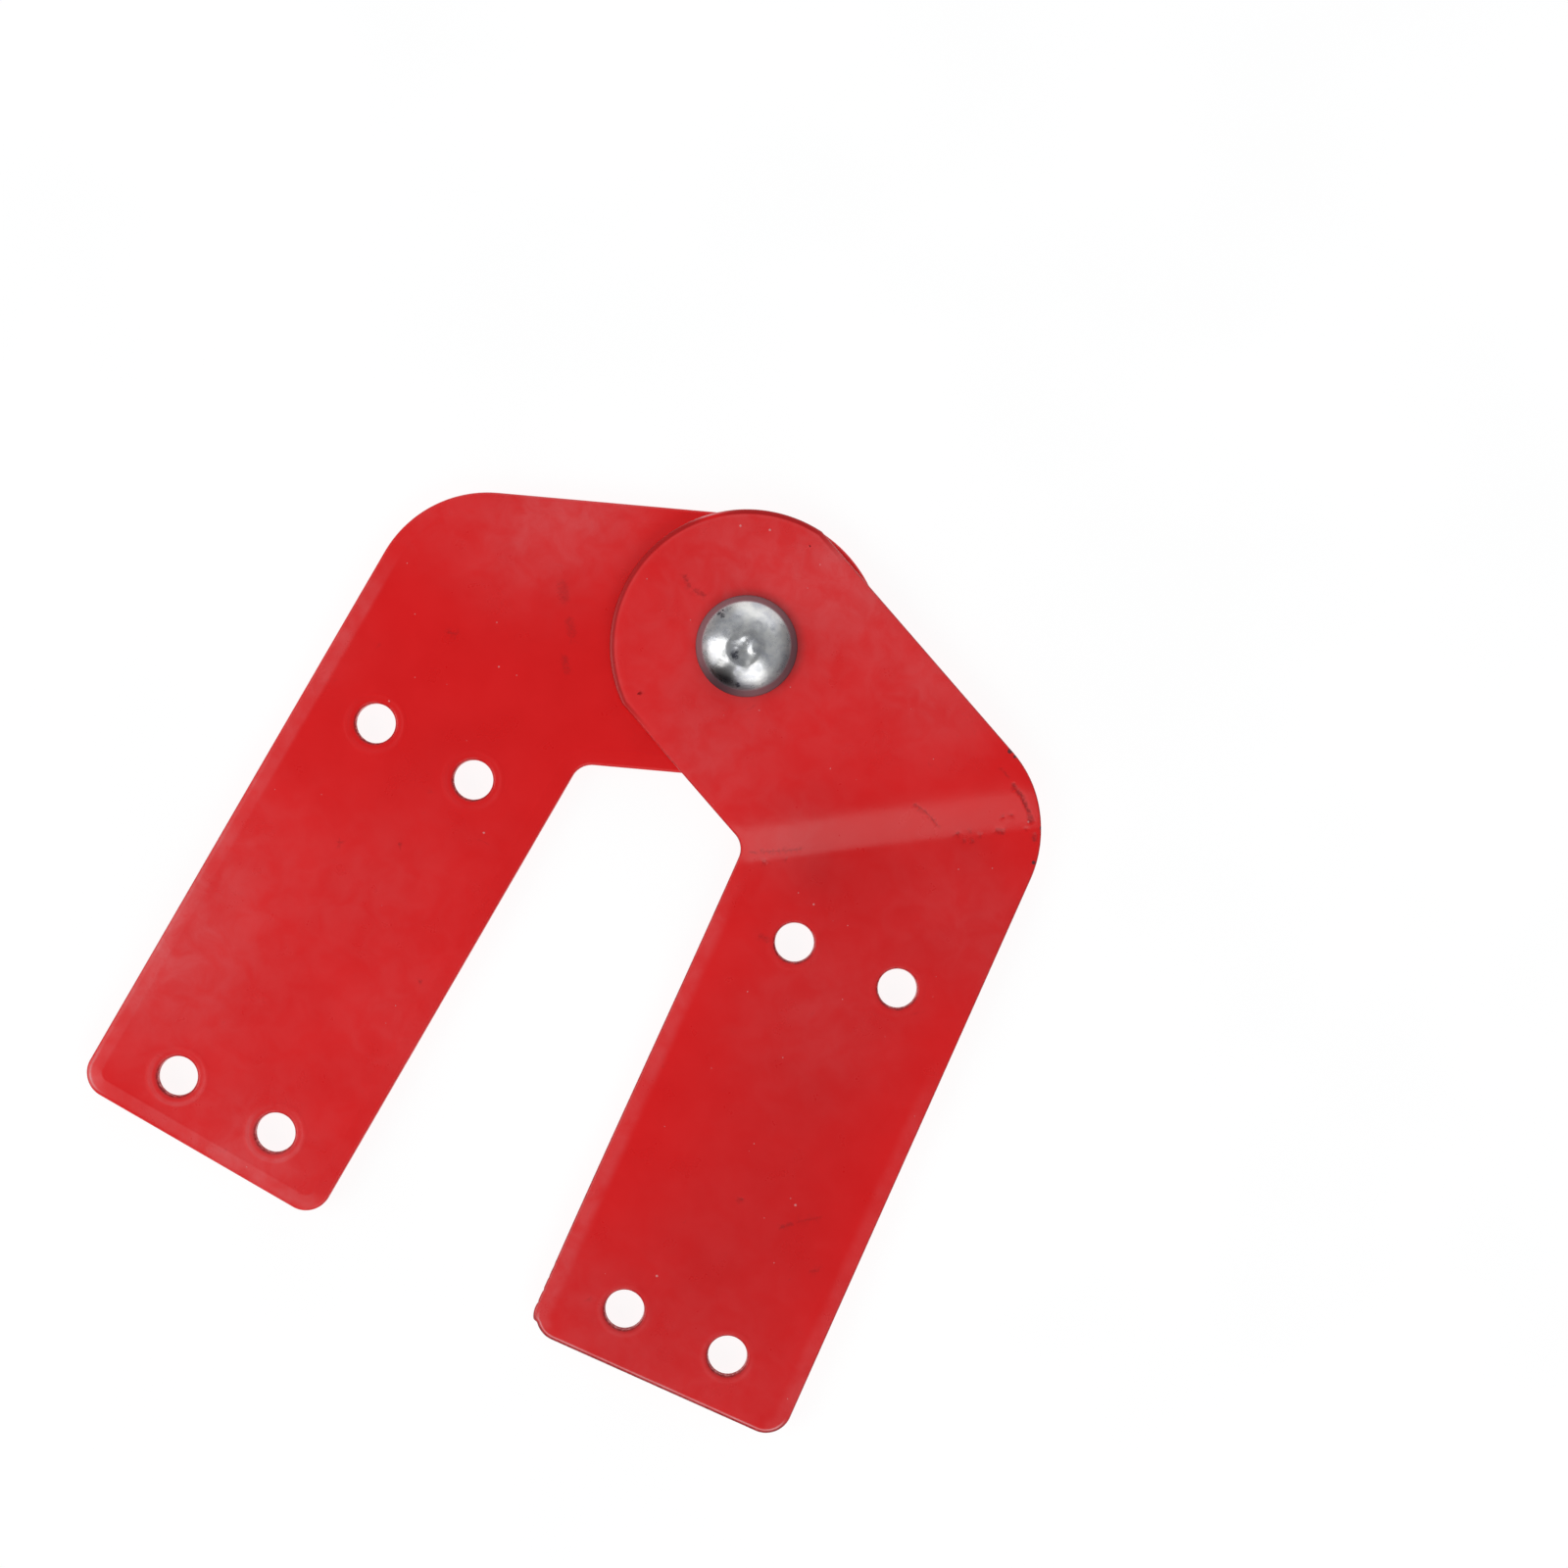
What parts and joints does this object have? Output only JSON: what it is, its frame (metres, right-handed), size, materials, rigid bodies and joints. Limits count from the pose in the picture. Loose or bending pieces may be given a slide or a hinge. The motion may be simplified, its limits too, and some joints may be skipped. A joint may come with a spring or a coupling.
{
  "type": "hinged roof anchor",
  "caption": "Hinged roof anchor: chevron arms of sheet steel joined by a domed rivet, with nail holes in both legs to straddle a roof ridge.",
  "frame": {"origin": "centre of the bottom of the bounding box, under the middle of the assembly, level with the rivet's formed tail", "axes": "+Z along the rivet towards its domed head, square to both arms; +Y from the leg ends towards the pivot; the front (joggled, upper) arm is on +X"},
  "size_m": [0.145, 0.1554, 0.0137],
  "materials": {
    "red_coating": "glossy red enamel or powder coat over steel sheet, slight orange peel",
    "rivet_steel": "bright zinc-plated steel with hammered facets"
  },
  "bodies": {
    "back_arm": {"back_arm": "red_coating", "rivet": "rivet_steel"},
    "front_arm": {"front_arm": "red_coating"}
  },
  "joints": [
    {"name": "arm_pivot", "type": "hinge", "parent": "back_arm", "child": "front_arm", "pos_m": [0.00068, 0.05252, 0.00659], "axis": [0, 0, 1], "range_deg": [-19, 174.5]}
  ]
}
